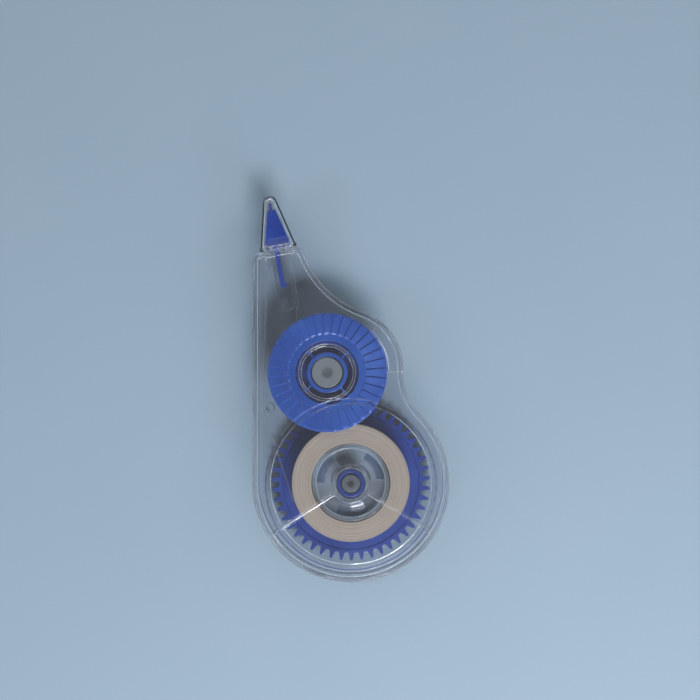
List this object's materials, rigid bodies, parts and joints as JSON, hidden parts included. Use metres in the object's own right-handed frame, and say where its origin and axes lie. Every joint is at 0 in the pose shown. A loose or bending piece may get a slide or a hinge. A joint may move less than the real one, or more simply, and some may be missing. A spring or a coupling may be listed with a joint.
{
  "type": "correction tape dispenser",
  "caption": "Palm-sized correction tape roller: clear two-part case, geared supply and take-up reels, slip clutch, wedge applicator tip and pull-off cap.",
  "frame": {"origin": "on the supply reel's axis, at the flat back face of the case", "axes": "+X across the case away from its straight wall, +Y towards the tip, +Z out of the front face; the case lies on its back"},
  "size_m": [0.0478, 0.094, 0.0134],
  "materials": {
    "clear_plastic": "clear polished polystyrene with a faint cool tint",
    "clear_core_plastic": "clear glossy plastic",
    "blue_plastic": "deep blue moulded plastic, semi-gloss",
    "reel_blue_plastic": "mid blue moulded plastic, semi-gloss",
    "cream_tape": "satin edges of wound film",
    "grey_silicone": "matte silicone",
    "film": "thin translucent film"
  },
  "bodies": {
    "case": {"rear_shell": "clear_plastic", "front_shell": "clear_plastic", "tip_head": "blue_plastic", "film_run": "film"},
    "cap": {"tip_cap": "clear_plastic"},
    "gear": {"supply_gear": "blue_plastic"},
    "core": {"supply_core": "clear_core_plastic", "core_bush": "blue_plastic", "tape_roll": "cream_tape", "clutch_ring": "grey_silicone"},
    "take_up": {"take_up_gear": "blue_plastic", "take_up_disc": "reel_blue_plastic", "take_up_film": "film"}
  },
  "joints": [
    {"name": "supply_gear_spin", "type": "hinge", "parent": "case", "child": "gear", "pos_m": [0, 0, 0.0026], "axis": [0, 0, 1], "continuous": true},
    {"name": "clutch_slip", "type": "hinge", "parent": "gear", "child": "core", "pos_m": [0, 0, 0.0026], "axis": [0, 0, 1], "continuous": true},
    {"name": "take_up_spin", "type": "hinge", "parent": "case", "child": "take_up", "pos_m": [-0.00576, 0.02699, 0.0026], "axis": [0, 0, 1], "continuous": true},
    {"name": "cap_slide", "type": "slide", "parent": "case", "child": "cap", "axis": [-0.1822, 0.9833, 0], "range_m": [0, 0.016]}
  ],
  "couplings": [
    {"joint": "take_up_spin", "follows": "supply_gear_spin", "ratio": -2.1364}
  ]
}
